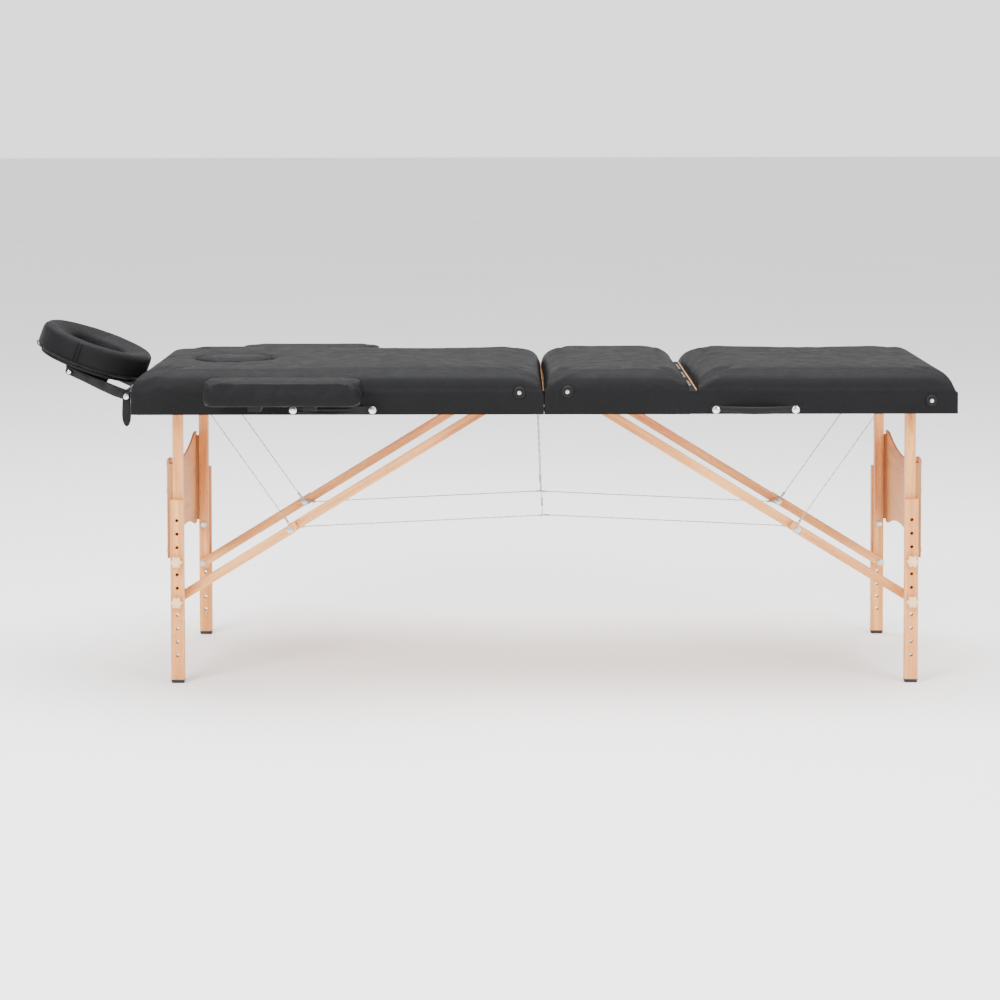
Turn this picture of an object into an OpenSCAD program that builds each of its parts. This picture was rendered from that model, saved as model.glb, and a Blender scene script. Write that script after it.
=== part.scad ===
// Portable massage table: two hinged wooden frames with a lifting backrest,
// folding leg frames on cable-stayed elbow braces, plug-in headrest and armrests.
// Millimetres. +X runs towards the backrest end, -Y is the handle side, +Z is up.
// The origin is on the floor under the middle of the whole object.

/* [Top] */
// length of the padded top, both halves together
top_len = 1860; // [1700:10:2000]
// width of the top
top_w = 600; // [560:10:760]
// height of the pad surface above the floor
top_z = 718; // [650:1:780]
// foam and cover thickness
pad_t = 45; // [35:1:60]
// where the folding seam lies along X
seam_x = 135; // [100:1:160]
// thickness of the deck board under the foam
deck_t = 4; // [3:0.5:8]
// radius of the pad ends at the seam
pad_r = 24; // [8:1:40]
// radius of the long pad edges
pad_side_r = 15; // [6:1:30]

/* [Frame] */
// height of the side rails
rail_h = 48; // [40:1:70]
// thickness of the rails
rail_t = 18; // [12:1:24]
// distance from the seam to the leg pivot
leg_d = 836; // [760:1:860]
// distance from the seam to the brace hanger pivot
hang_d = 77.2; // [60:0.1:120]
// length of one folding hinge at the seam
hinge_l = 80; // [50:1:120]

/* [Legs] */
// width of the lower leg board
board_w = 30; // [24:1:40]
// thickness of the lower leg board
board_t = 18; // [12:1:22]
// top end of the lower leg board
board_top = 420; // [380:1:440]
// width of the upper leg
upper_w = 22; // [18:1:28]
// thickness of the upper leg
upper_t = 24; // [18:1:28]
// spacing of the height holes
hole_pitch = 31; // [25:0.5:35]
// height of the top hole
hole_top = 373; // [340:1:390]
// radius of the height holes
hole_r = 4; // [3.6:0.1:5]
// height of the rubber foot
foot_h = 8; // [4:1:15]

/* [Braces] */
// thickness of a brace bar
brace_t = 15; // [12:0.5:15]
// depth of a brace bar
brace_w = 20; // [16:1:22]
// radius of a support cable
cable_r = 1.1; // [0.8:0.1:1.5]

/* [Backrest] */
// distance from the seam to the backrest hinge
back_d = 335; // [300:1:380]
// half of the gap between seat pad and backrest pad
back_gap = 7.2; // [7:0.1:10]
// distance from the seam to the prop pivot
prop_d = 610; // [600:1:620]
// length of the prop arm
prop_l = 265.8; // [260:0.1:266]

/* [Headrest] */
// length of the face ring
ring_len = 265; // [240:1:280]
// width of the face ring
ring_w = 290; // [260:1:300]
// thickness of the face ring cushion
ring_t = 66; // [50:1:75]
// tilt of the face ring
ring_tilt = 20; // [10:1:25]

/* [Armrests and face hole] */
// length of an armrest
arm_l = 350; // [300:1:380]
// width of an armrest
arm_w = 115; // [90:1:130]
// length of the face hole
face_l = 180; // [160:1:200]
// width of the face hole
face_w = 135; // [120:1:150]

/* [Hidden] */
$fn = 64;
half_len = top_len / 2;
deck_z1 = top_z - pad_t;
rail_z1 = deck_z1 - deck_t;
rail_z0 = rail_z1 - rail_h;
rail_yo = top_w / 2 - 0.5;
rail_yi = rail_yo - rail_t;
pivot_z = rail_z0 + 31;
bolt_z = hole_top - 6 * hole_pitch;
pin_z = hole_top - 3 * hole_pitch;
// Y layers from the rail inwards: knob, board, upper leg, lower brace, upper brace
board_y1 = rail_yi - 24.5;
board_y0 = board_y1 - board_t;
upper_y1 = board_y0 - 0.5;
upper_y0 = upper_y1 - upper_t;
low_y1 = upper_y0 - 3;
low_y0 = low_y1 - brace_t;
high_y1 = low_y0 - 3;
high_y0 = high_y1 - brace_t;
// the two braces are straight in use and lie flat along each other when folded
run = leg_d - hang_d;
drop = pivot_z - bolt_z;
reach = sqrt(run * run + drop * drop);
high_l = (reach + run - drop) / 2;
low_l = reach - high_l;
brace_a = atan(drop / run);
elbow_d = hang_d + high_l * cos(brace_a);
elbow_z = pivot_z - high_l * sin(brace_a);
anchor_d = 802;
panel_d = 19.4;
kink_z = elbow_z + 27;
stay_y = high_y0 - 4.3;
link_y = high_y0 - 7.7;
back_z = deck_z1;
board_z0 = rail_z1 + 0.4;
board_z1 = board_z0 + 6;
prop_z = back_z - 16;
beam_y0 = 142;
beam_y1 = 158;
axis_z = rail_z0 - 1;
head_end = seam_x - half_len;
ring_x = head_end - 19 - ring_len / 2 * cos(ring_tilt);
ring_z = top_z - 54 + ring_len / 2 * sin(ring_tilt);
cradle_x = head_end - 40;
cradle_z = rail_z0 + 20;
tilt_x = cradle_x - 135;
tilt_z = cradle_z + 56;
rest_d0 = 406;
rest_z1 = top_z - 10;
rest_y0 = top_w / 2 + 12;
peg_z = rail_z0 + 29;
peg_d = [520, 642];
face_d = half_len - 198;
face_rim = 9;
handle_d = 476;
handle_z = rail_z0 + 10;

// ---------- helpers ----------
// places a half drawn outwards from the seam: s = -1 for the head half, 1 for the foot half
module half(s) {
    translate([seam_x, 0, 0])
        mirror([s < 0 ? 1 : 0, 0, 0])
            children();
}

// repeats what is drawn on the rear side on both sides
module sides() {
    for (m = [0, 1])
        mirror([0, m, 0])
            children();
}

module slab(d0, d1, y0, y1, z0, z1) {
    translate([d0, y0, z0])
        cube([d1 - d0, y1 - y0, z1 - z0]);
}

module yrod(d, z, y0, y1, r) {
    translate([d, y1, z])
        rotate([90, 0, 0])
            cylinder(h = y1 - y0, r = r);
}

module strand(d0, z0, d1, z1, y, r) {
    len = sqrt((d1 - d0) * (d1 - d0) + (z1 - z0) * (z1 - z0));
    translate([d0, y, z0])
        rotate([0, 90 - atan2(z1 - z0, d1 - d0), 0])
            cylinder(h = len, r = r);
}

// side outline with rounded top corners, drawn in length and height
module loaf(a, b, z0, z1, ra, rb) {
    difference() {
        translate([a, z0])
            square([b - a, z1 - z0]);
        difference() {
            translate([a - 1, z1 - ra])
                square([ra + 1, ra + 1]);
            translate([a + ra, z1 - ra])
                circle(r = ra);
        }
        difference() {
            translate([b - rb, z1 - rb])
                square([rb + 1, rb + 1]);
            translate([b - rb, z1 - rb])
                circle(r = rb);
        }
    }
}

module pad_block(d0, d1, z0, ra, rb) {
    intersection() {
        translate([0, rail_yo, 0])
            rotate([90, 0, 0])
                linear_extrude(height = 2 * rail_yo)
                    loaf(d0, d1, z0, top_z, ra, rb);
        translate([d0 - 5, 0, 0])
            rotate([90, 0, 90])
                linear_extrude(height = d1 - d0 + 10)
                    loaf(-rail_yo, rail_yo, z0, top_z, pad_side_r, pad_side_r);
    }
}

// straight-sided oval of length l and width w
module oval(l, w) {
    for (m = [-1, 1])
        translate([m * (l - w) / 2, 0])
            circle(r = w / 2);
    translate([-(l - w) / 2, -w / 2])
        square([l - w, w]);
}

module rounded_plate(l, w, r) {
    difference() {
        translate([-l / 2, -w / 2])
            square([l, w]);
        for (a = [-1, 1])
            for (b = [-1, 1])
                difference() {
                    translate([a * l / 2 - r * (a > 0 ? 1 : 0), b * w / 2 - r * (b > 0 ? 1 : 0)])
                        square([r, r]);
                    translate([a * (l / 2 - r), b * (w / 2 - r)])
                        circle(r = r);
                }
    }
}

// ---------- seam hinges ----------
hinge_y = [-(rail_yi - 56), 0, rail_yi - 56];
knuckle = hinge_l / 5;

module hinge_recess() {
    for (y = hinge_y) {
        yrod(0, axis_z, y - hinge_l / 2 - 1, y + hinge_l / 2 + 1, 5.2);
        slab(1, 21, y - hinge_l / 2 - 1, y + hinge_l / 2 + 1, rail_z0 - 1, rail_z0 + 0.8);
    }
}

module hinge_leaves(picks) {
    for (y = hinge_y)
        difference() {
            union() {
                for (k = picks) {
                    yk = y - hinge_l / 2 + k * knuckle;
                    yrod(0, axis_z, yk + 0.2, yk + knuckle - 0.2, 4);
                    slab(2, 6, yk + 0.2, yk + knuckle - 0.2, rail_z0 - 0.7, rail_z0 + 0.8);
                }
                slab(5, 20, y - hinge_l / 2, y + hinge_l / 2, rail_z0 - 0.7, rail_z0 + 0.8);
            }
            yrod(0, axis_z, y - hinge_l / 2 - 1, y + hinge_l / 2 + 1, 2.05);
        }
}

module hinge_pins() {
    color("silver")
        translate([seam_x, 0, 0])
            for (y = hinge_y)
                yrod(0, axis_z, y - hinge_l / 2 - 0.5, y + hinge_l / 2 + 0.5, 2);
}

// ---------- frames ----------
module side_rails() {
    sides()
        slab(0.5, half_len, rail_yi, rail_yo, rail_z0, rail_z1);
}

module cross_rails() {
    difference() {
        slab(2, 20, -rail_yi, rail_yi, rail_z0, rail_z1);
        hinge_recess();
    }
    slab(half_len - 18, half_len, -rail_yi, rail_yi, rail_z0, rail_z1);
    sides() {
        // leg hinge block
        difference() {
            slab(leg_d - 24, leg_d + 24, upper_y1 + 1, rail_yi, pivot_z - 13, rail_z1);
            yrod(leg_d, pivot_z, upper_y1 - 1, rail_yi + 1, 5);
        }
        // brace hanger block
        difference() {
            slab(20, hang_d + 18, high_y0 - 23.5, high_y0 - 0.5, pivot_z - 12, rail_z1);
            yrod(hang_d, pivot_z, high_y0 - 25, high_y0, 4);
        }
        // cable anchor block
        slab(anchor_d - 14, anchor_d + 14, stay_y - 7, stay_y + 7, rail_z1 - 14, rail_z1);
    }
}

module head_side_rails() {
    color("burlywood")
        half(-1)
            difference() {
                side_rails();
                for (p = peg_d)
                    sides()
                        yrod(p, peg_z, rail_yi - 1, rail_yo + 1, 6.05);
            }
}

module foot_side_rails() {
    color("burlywood")
        half(1)
            side_rails();
}

module head_cross_rails() {
    color("burlywood")
        half(-1)
            difference() {
                cross_rails();
                for (y = [-70, 70])
                    translate([half_len - 20, y, cradle_z])
                        rotate([0, 90, 0])
                            cylinder(h = 22, r = 9);
            }
}

module foot_cross_rails() {
    color("burlywood")
        half(1) {
            cross_rails();
            // batten under the seat deck and the two beams that carry the prop
            slab(back_d - 35, back_d - 4, -high_y0 + 9, high_y0 - 9, rail_z1 - 17, rail_z1);
            sides()
                difference() {
                    slab(back_d - 3.9, half_len - 18.1, beam_y0, beam_y1, rail_z1 - 25, rail_z1 - 3);
                    yrod(prop_d, prop_z, beam_y0 - 1, beam_y1 + 1, 4);
                }
        }
}

module head_deck() {
    color("tan")
        half(-1)
            difference() {
                slab(0.5, half_len, -rail_yo, rail_yo, rail_z1, deck_z1);
                translate([face_d, 0, rail_z1 - 1])
                    linear_extrude(height = deck_t + 2)
                        oval(face_l - 2 * face_rim, face_w - 2 * face_rim);
            }
}

module foot_deck() {
    color("tan")
        half(1)
            slab(0.5, back_d - back_gap, -rail_yo, rail_yo, rail_z1, deck_z1);
}

module head_pad() {
    color([0.13, 0.13, 0.14])
        half(-1)
            difference() {
                pad_block(1, half_len, deck_z1 + 0.1, pad_r, pad_r);
                translate([face_d, 0, deck_z1 - 1])
                    linear_extrude(height = pad_t + 2)
                        oval(face_l, face_w);
            }
}

module face_plug() {
    color([0.13, 0.13, 0.14])
        half(-1)
            translate([face_d, 0, deck_z1 + 0.3])
                linear_extrude(height = pad_t - 0.3)
                    oval(face_l - 3, face_w - 3);
}

module seat_pad() {
    color([0.13, 0.13, 0.14])
        half(1)
            pad_block(1, back_d - back_gap, deck_z1 + 0.1, pad_r, pad_t - 0.2);
}

// ---------- fixings shared by both frames ----------
module frame_hardware() {
    sides() {
        // leg pivot bolt, head outside the block, nut inside the leg
        yrod(leg_d, pivot_z, upper_y0 - 2.4, rail_yi, 5);
        yrod(leg_d, pivot_z, upper_y0 - 6, upper_y0 - 0.5, 9);
        // brace hanger bolt with its nut and head
        yrod(hang_d, pivot_z, high_y0 - 23.5, high_y1 + 4, 4);
        yrod(hang_d, pivot_z, high_y1 + 0.5, high_y1 + 5.5, 7.5);
        yrod(hang_d, pivot_z, high_y0 - 27, high_y0 - 23.5, 7.5);
    }
    // handle rivets with shanks into the front rail
    for (m = [-1, 1]) {
        yrod(handle_d + m * 89.5, handle_z, -rail_yo - 6.2, -rail_yo - 3.8, 8.5);
        yrod(handle_d + m * 89.5, handle_z, -rail_yo - 4, -rail_yo, 3);
    }
}

module head_hardware() {
    color("silver")
        half(-1) {
            frame_hardware();
            // headrest socket tubes
            for (y = [-70, 70])
                translate([half_len - 95, y, cradle_z])
                    rotate([0, 90, 0])
                        difference() {
                            cylinder(h = 95, r = 9);
                            translate([0, 0, -1])
                                cylinder(h = 97, r = 6.05);
                        }
            yrod(56, top_z - 48, -rail_yo - 8.5, -rail_yo - 6.5, 4.5);
        }
}

module foot_hardware() {
    color("silver")
        half(1) {
            frame_hardware();
            yrod(52, top_z - 46, -rail_yo - 8.5, -rail_yo - 6.5, 4.5);
            yrod(871, rail_z0 + 30, -rail_yo - 8.5, -rail_yo - 6.5, 4.5);
            // prop pivot bolts
            sides() {
                yrod(prop_d, prop_z, 120, beam_y1, 4);
                yrod(prop_d, prop_z, beam_y1, beam_y1 + 3, 7);
                yrod(prop_d, prop_z, 117, 121.6, 7);
            }
            // seat-side knuckles of the backrest hinge
            back_knuckles([0, 2, 4], -1);
            for (y = [-170, 0, 170])
                yrod(back_d, back_z, y - 40, y + 40, 1.5);
        }
}

module head_hinge_leaves() {
    color("silver")
        half(-1)
            hinge_leaves([0, 2, 4]);
}

module foot_hinge_leaves() {
    color("silver")
        half(1)
            hinge_leaves([1, 3]);
}

module handle() {
    grip_r = 162.3;
    intersection() {
        translate([handle_d, -rail_yo - 24 + grip_r, handle_z - 9])
            difference() {
                cylinder(h = 18, r = grip_r);
                translate([0, 0, -1])
                    cylinder(h = 20, r = grip_r - 4);
            }
        slab(handle_d - 84, handle_d + 84, -rail_yo - 30, -rail_yo, handle_z - 10, handle_z + 10);
    }
    for (m = [-1, 1])
        difference() {
            slab(handle_d + m * 89.5 - 13, handle_d + m * 89.5 + 13,
                -rail_yo - 3.8, -rail_yo, handle_z - 9, handle_z + 11);
            yrod(handle_d + m * 89.5, handle_z, -rail_yo - 5, -rail_yo + 1, 3);
        }
}

module head_handle() {
    color([0.1, 0.1, 0.1])
        half(-1)
            handle();
}

module foot_handle() {
    color([0.1, 0.1, 0.1])
        half(1)
            handle();
}

module bumper(d, z) {
    yrod(d, z, -rail_yo - 5, -rail_yo, 13.5);
    yrod(d, z, -rail_yo - 6.5, -rail_yo - 5, 11);
}

module head_bumper() {
    color([0.1, 0.1, 0.1])
        half(-1)
            bumper(56, top_z - 48);
}

module foot_bumpers() {
    color([0.1, 0.1, 0.1])
        half(1) {
            bumper(52, top_z - 46);
            bumper(871, rail_z0 + 30);
        }
}

// ---------- backrest ----------
module back_knuckles(picks, dir) {
    for (y = [-170, 0, 170])
        difference() {
            union() {
                for (k = picks) {
                    yk = y - 40 + k * 16;
                    yrod(back_d, back_z, yk + 0.2, yk + 15.8, 3.5);
                    slab(back_d - 1.2, back_d + 1.2, yk + 0.2, yk + 15.8, back_z - 6.5, back_z - 3);
                    slab(min(back_d + dir * 1.2, back_d + dir * 3.6),
                        max(back_d + dir * 1.2, back_d + dir * 3.6),
                        yk + 0.2, yk + 15.8, back_z - 6.5, back_z - 4.6);
                }
                slab(min(back_d + dir * 3.6, back_d + dir * 30), max(back_d + dir * 3.6, back_d + dir * 30),
                    y - 40, y + 40, back_z - 6.5, dir > 0 ? board_z0 : rail_z1);
            }
            yrod(back_d, back_z, y - 41, y + 41, 1.55);
            if (dir < 0)
                slab(back_d - 36, back_d - 3.8, y - 41, y + 41, back_z - 8, rail_z1 + 0.01);
        }
}

module backrest_board() {
    color("tan")
        half(1) {
            slab(back_d + back_gap, half_len - 5, -rail_yo, rail_yo, board_z0, board_z1);
            // toothed racks the prop bar catches in
            sides()
                difference() {
                    slab(back_d + 225, back_d + 560, 96, 112, prop_z + 5.5, board_z0);
                    for (k = [0:7])
                        yrod(back_d + 250 + 38 * k, prop_z + 4, 95, 113, 5.6);
                }
        }
}

module backrest_pad() {
    color([0.13, 0.13, 0.14])
        half(1)
            pad_block(back_d + back_gap, half_len - 5, board_z1 + 0.1, top_z - board_z1 - 0.2, pad_r);
}

module backrest_leaf() {
    color("silver")
        half(1)
            back_knuckles([1, 3], 1);
}

module backrest_prop() {
    color("dimgray")
        half(1) {
            sides()
                difference() {
                    union() {
                        slab(prop_d, prop_d + prop_l, 122, 140, prop_z - 7, prop_z + 5);
                        yrod(prop_d, prop_z, 122, 140, 8);
                    }
                    yrod(prop_d, prop_z, 121, 141, 4.05);
                }
            yrod(prop_d + prop_l, prop_z, -140, 140, 5);
            yrod(prop_d + 90, prop_z - 1, -122, 122, 5);
        }
}

// ---------- legs ----------
module upper_legs() {
    sides()
        difference() {
            union() {
                slab(leg_d - upper_w / 2, leg_d + upper_w / 2, upper_y0, upper_y1, bolt_z - 15, pivot_z);
                yrod(leg_d, pivot_z, upper_y0, upper_y1, upper_w / 2);
            }
            yrod(leg_d, pivot_z, upper_y0 - 1, upper_y1 + 1, 5.05);
            yrod(leg_d, pin_z, upper_y0 - 1, upper_y1 + 1, 3.5);
            yrod(leg_d, bolt_z, upper_y0 - 1, upper_y1 + 1, 3.5);
        }
}

module leg_panel() {
    arc_r = 690;
    // cleats that keep the panel clear of the folding braces
    sides()
        slab(leg_d + upper_w / 2, leg_d + panel_d, upper_y0 + 3, upper_y1 - 1, 292, 500);
    translate([leg_d + panel_d, 0, 0])
        rotate([90, 0, 90])
            linear_extrude(height = 5)
                difference() {
                    translate([-upper_y1 + 1, 283])
                        square([2 * upper_y1 - 2, 227]);
                    translate([0, 480 + arc_r])
                        circle(r = arc_r, $fn = 256);
                    translate([0, 315 - arc_r])
                        circle(r = arc_r, $fn = 256);
                }
}

module leg_bolts() {
    sides() {
        yrod(leg_d, pin_z, upper_y0, board_y1 + 17, 3.5);
        yrod(leg_d, pin_z, upper_y0 - 2, upper_y0, 7.5);
        yrod(leg_d, bolt_z, low_y0 - 0.5, board_y1 + 17, 3.5);
        yrod(leg_d, bolt_z, low_y0 - 2.5, low_y0 - 0.5, 7.5);
        for (z = [300, 436, 498])
            translate([leg_d + panel_d + 5, (upper_y0 + upper_y1) / 2, z])
                rotate([0, 90, 0])
                    cylinder(h = 2.5, r = 6);
    }
}

module leg_boards() {
    sides()
        difference() {
            slab(leg_d - board_w / 2, leg_d + board_w / 2, board_y0, board_y1, foot_h, board_top);
            for (k = [0:10])
                yrod(leg_d, hole_top - k * hole_pitch, board_y0 - 1, board_y1 + 1, hole_r);
        }
}

module feet() {
    sides()
        translate([leg_d, (board_y0 + board_y1) / 2, 0])
            linear_extrude(height = foot_h)
                rounded_plate(board_w + 0.6, board_t + 0.6, 4);
}

module head_upper_legs() {
    color("burlywood")
        half(-1)
            upper_legs();
}

module foot_upper_legs() {
    color("burlywood")
        half(1)
            upper_legs();
}

module head_leg_panel() {
    color("tan")
        half(-1)
            leg_panel();
}

module foot_leg_panel() {
    color("tan")
        half(1)
            leg_panel();
}

module head_leg_bolts() {
    color("silver")
        half(-1)
            leg_bolts();
}

module foot_leg_bolts() {
    color("silver")
        half(1)
            leg_bolts();
}

module head_leg_boards() {
    color("burlywood")
        half(-1)
            leg_boards();
}

module foot_leg_boards() {
    color("burlywood")
        half(1)
            leg_boards();
}

module head_feet() {
    color([0.08, 0.08, 0.08])
        half(-1)
            feet();
}

module foot_feet() {
    color([0.08, 0.08, 0.08])
        half(1)
            feet();
}

// six-lobed hand knob on its bolt; e = -1 on the front side, 1 on the rear side
module knob(s, e, z) {
    color([0.85, 0.7, 0.45])
        half(s)
            mirror([0, e < 0 ? 1 : 0, 0])
                difference() {
                    union() {
                        yrod(leg_d, z, board_y1 + 0.4, board_y1 + 5.4, 8);
                        yrod(leg_d, z, board_y1 + 5.4, board_y1 + 19.4, 11.5);
                        for (k = [0:5])
                            yrod(leg_d + 9.6 * cos(60 * k), z + 9.6 * sin(60 * k),
                                board_y1 + 5.4, board_y1 + 19.4, 4.2);
                    }
                    yrod(leg_d, z, board_y1 - 1, board_y1 + 17.4, 3.55);
                }
}

module knob_head_front_upper() {
    knob(-1, -1, pin_z);
}

module knob_head_front_lower() {
    knob(-1, -1, bolt_z);
}

module knob_head_rear_upper() {
    knob(-1, 1, pin_z);
}

module knob_head_rear_lower() {
    knob(-1, 1, bolt_z);
}

module knob_foot_front_upper() {
    knob(1, -1, pin_z);
}

module knob_foot_front_lower() {
    knob(1, -1, bolt_z);
}

module knob_foot_rear_upper() {
    knob(1, 1, pin_z);
}

module knob_foot_rear_lower() {
    knob(1, 1, bolt_z);
}

// ---------- braces ----------
// each bar is drawn level from its own pivot, then tilted as a whole
module upper_braces() {
    sides()
        translate([hang_d, 0, pivot_z])
            rotate([0, brace_a, 0])
                difference() {
                    union() {
                        slab(0, high_l, high_y0, high_y1, -brace_w / 2, brace_w / 2);
                        yrod(0, 0, high_y0, high_y1, brace_w / 2 - 0.6);
                        yrod(high_l, 0, high_y0, high_y1, brace_w / 2 - 0.6);
                    }
                    yrod(0, 0, high_y0 - 1, high_y1 + 1, 4.05);
                    yrod(high_l, 0, high_y0 - 1, high_y1 + 1, 4);
                }
}

module lower_braces() {
    sides()
        translate([leg_d, 0, bolt_z])
            rotate([0, brace_a, 0])
                difference() {
                    union() {
                        slab(-low_l - 18, 0, low_y0, low_y1, -brace_w / 2, brace_w / 2);
                        yrod(0, 0, low_y0, low_y1, brace_w / 2 - 0.6);
                    }
                    yrod(0, 0, low_y0 - 1, low_y1 + 1, 3.55);
                    yrod(-low_l, 0, low_y0 - 1, low_y1 + 1, 4);
                    // corner that would touch the deck half way through the fold
                    translate([-low_l - 6, 0, -brace_w / 2])
                        rotate([0, 30, 0])
                            slab(-30, 0, low_y0 - 1, low_y1 + 1, -20, 0);
                }
}

module elbow_bolts() {
    sides() {
        yrod(elbow_d, elbow_z, low_y0, low_y1, 4);
        yrod(elbow_d, elbow_z, low_y1, low_y1 + 2.4, 8);
    }
}

module elbow_studs(link) {
    sides() {
        yrod(elbow_d, elbow_z, high_y0, high_y1, 4);
        yrod(elbow_d, elbow_z, high_y1, high_y1 + 2.7, 9);
        yrod(elbow_d, elbow_z, high_y0 - 2.5, high_y0, 9.4);
        yrod(elbow_d, elbow_z, link - 1.8, high_y0 - 2.5, 3);
        yrod(elbow_d, elbow_z, link - 5, link - 1.8, 6);
    }
}

module head_upper_braces() {
    color("burlywood")
        half(-1)
            upper_braces();
}

module foot_upper_braces() {
    color("burlywood")
        half(1)
            upper_braces();
}

module head_lower_braces() {
    color("burlywood")
        half(-1)
            lower_braces();
}

module foot_lower_braces() {
    color("burlywood")
        half(1)
            lower_braces();
}

module head_elbow_bolts() {
    color("silver")
        half(-1)
            elbow_bolts();
}

module foot_elbow_bolts() {
    color("silver")
        half(1)
            elbow_bolts();
}

module head_elbow_studs() {
    color("gray")
        half(-1)
            elbow_studs(link_y);
}

module foot_elbow_studs() {
    color("gray")
        half(1)
            elbow_studs(link_y - 4);
}

// ---------- support cables ----------
// one eye round the elbow stud, with a crimp sleeve and the cable leaving towards (d, z)
module eye_and_stay(d, z, y) {
    a = atan2(z - elbow_z, d - elbow_d);
    difference() {
        union() {
            yrod(elbow_d, elbow_z, y - 1.4, y + 1.4, 6);
            strand(elbow_d + 4 * cos(a), elbow_z + 4 * sin(a),
                elbow_d + 20 * cos(a), elbow_z + 20 * sin(a), y, 1.4);
        }
        yrod(elbow_d, elbow_z, y - 2, y + 2, 3.3);
    }
    strand(elbow_d + 16 * cos(a), elbow_z + 16 * sin(a),
        elbow_d + 28 * cos(a), elbow_z + 28 * sin(a), y, 2.4);
    strand(elbow_d + 18 * cos(a), elbow_z + 18 * sin(a), d, z, y, cable_r);
}

module stays(link) {
    sides() {
        eye_and_stay(anchor_d, rail_z1 - 14.3, stay_y + 0.2);
        eye_and_stay(0.4, kink_z, link - 0.2);
        strand(0.4, kink_z, 12, kink_z - 0.5, link - 0.2, 1.9);
    }
}

module head_cables() {
    color("gray")
        half(-1) {
            stays(link_y);
            // hanger cable from the centre rail to the middle of the long cable
            sides() {
                strand(12, rail_z0 - 0.3, 2.5, kink_z + 1, link_y - 0.2, cable_r);
                strand(4.2, kink_z + 40, 3.4, kink_z + 22, link_y - 0.2, 2.2);
            }
        }
}

module foot_cables() {
    color("gray")
        half(1)
            stays(link_y - 4);
}

// ---------- headrest ----------
module headrest_rods() {
    color("gainsboro") {
        for (y = [-70, 70])
            translate([cradle_x, y, cradle_z])
                rotate([0, 90, 0])
                    cylinder(h = 130, r = 6);
        slab(cradle_x - 9, cradle_x + 9, -98, 98, cradle_z - 10, cradle_z + 10);
        yrod(cradle_x, cradle_z, -127, -98, 4);
        yrod(cradle_x, cradle_z, 98, 114, 4);
        yrod(cradle_x, cradle_z, -130, -127, 6.5);
        yrod(cradle_x, cradle_z, 110.5, 114, 6.5);
    }
}

module headrest_arms() {
    arm_a = atan((tilt_z - cradle_z) / (cradle_x - tilt_x));
    arm_len = sqrt(pow(tilt_z - cradle_z, 2) + pow(tilt_x - cradle_x, 2));
    color([0.12, 0.12, 0.13])
        translate([tilt_x, 0, tilt_z])
            rotate([0, arm_a, 0]) {
                sides()
                    difference() {
                        union() {
                            slab(0, arm_len, 101, 109, -8, 8);
                            yrod(0, 0, 101, 109, 11);
                            yrod(arm_len, 0, 101, 109, 11);
                        }
                        yrod(0, 0, 100, 110, 4.05);
                        yrod(arm_len, 0, 100, 110, 4.05);
                    }
                yrod(arm_len / 2, 0, -102, 102, 6);
            }
}

module ring_place() {
    translate([ring_x, 0, ring_z])
        rotate([0, ring_tilt, 0])
            children();
}

module headrest_platform() {
    color([0.2, 0.2, 0.2]) {
        ring_place()
            translate([0, 0, -7])
                linear_extrude(height = 6.7)
                    difference() {
                        rotate([0, 0, 90])
                            oval(ring_w - 28, ring_len - 28);
                        rotate([0, 0, 90])
                            oval(150, 126);
                    }
        sides() {
            difference() {
                union() {
                    yrod(tilt_x, tilt_z, 90, 98, 10);
                    intersection() {
                        slab(tilt_x - 10, tilt_x + 10, 90, 98, tilt_z, tilt_z + 40);
                        ring_place()
                            translate([-120, 80, -60])
                                cube([240, 30, 53.4]);
                    }
                }
            }
            yrod(tilt_x, tilt_z, 98, 112, 4);
            yrod(tilt_x, tilt_z, 109.6, 113, 6.5);
            // flange along the platform
            ring_place()
                translate([-36, 91, -18.5])
                    cube([100, 6, 13.5]);
        }
    }
}

module headrest_cushion() {
    color([0.13, 0.13, 0.14])
        ring_place()
            difference() {
                union() {
                    linear_extrude(height = ring_t - 12)
                        rotate([0, 0, 90])
                            oval(ring_w, ring_len);
                    translate([0, 0, ring_t - 12])
                        linear_extrude(height = 12)
                            rotate([0, 0, 90])
                                oval(ring_w - 20, ring_len - 20);
                }
                translate([0, 0, -1])
                    linear_extrude(height = ring_t + 2)
                        rotate([0, 0, 90])
                            oval(145, 120);
            }
}

module headrest_lever() {
    color([0.1, 0.1, 0.1])
        difference() {
            union() {
                yrod(cradle_x, cradle_z, -126, -113.5, 10);
                slab(cradle_x - 7, cradle_x + 6, -125, -115, cradle_z - 68, cradle_z);
                yrod(cradle_x - 0.5, cradle_z - 68, -125, -115, 6.5);
            }
            yrod(cradle_x, cradle_z, -128, -112, 4.05);
        }
}

// ---------- armrests ----------
module armrest_pad(e) {
    color([0.13, 0.13, 0.14])
        half(-1)
            mirror([0, e < 0 ? 1 : 0, 0])
                translate([rest_d0 + arm_l / 2, rest_y0 + arm_w / 2, rest_z1 - 43])
                    linear_extrude(height = 43)
                        rounded_plate(arm_l, arm_w, 22);
}

module armrest_base(e) {
    color("burlywood")
        half(-1)
            mirror([0, e < 0 ? 1 : 0, 0]) {
                translate([rest_d0 + arm_l / 2, rest_y0 + arm_w / 2, rest_z1 - 52])
                    linear_extrude(height = 8.8)
                        rounded_plate(arm_l - 16, arm_w - 12, 16);
                for (p = peg_d) {
                    yrod(p, peg_z, rail_yi - 18, rest_y0 + 90, 6);
                    difference() {
                        slab(p - 14, p + 14, rest_y0 + 6, rest_y0 + 94, peg_z - 9, rest_z1 - 52);
                        yrod(p, peg_z, rest_y0, rest_y0 + 90, 6);
                    }
                }
            }
}

module armrest_front_pad() {
    armrest_pad(-1);
}

module armrest_front_base() {
    armrest_base(-1);
}

module armrest_rear_pad() {
    armrest_pad(1);
}

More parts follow.
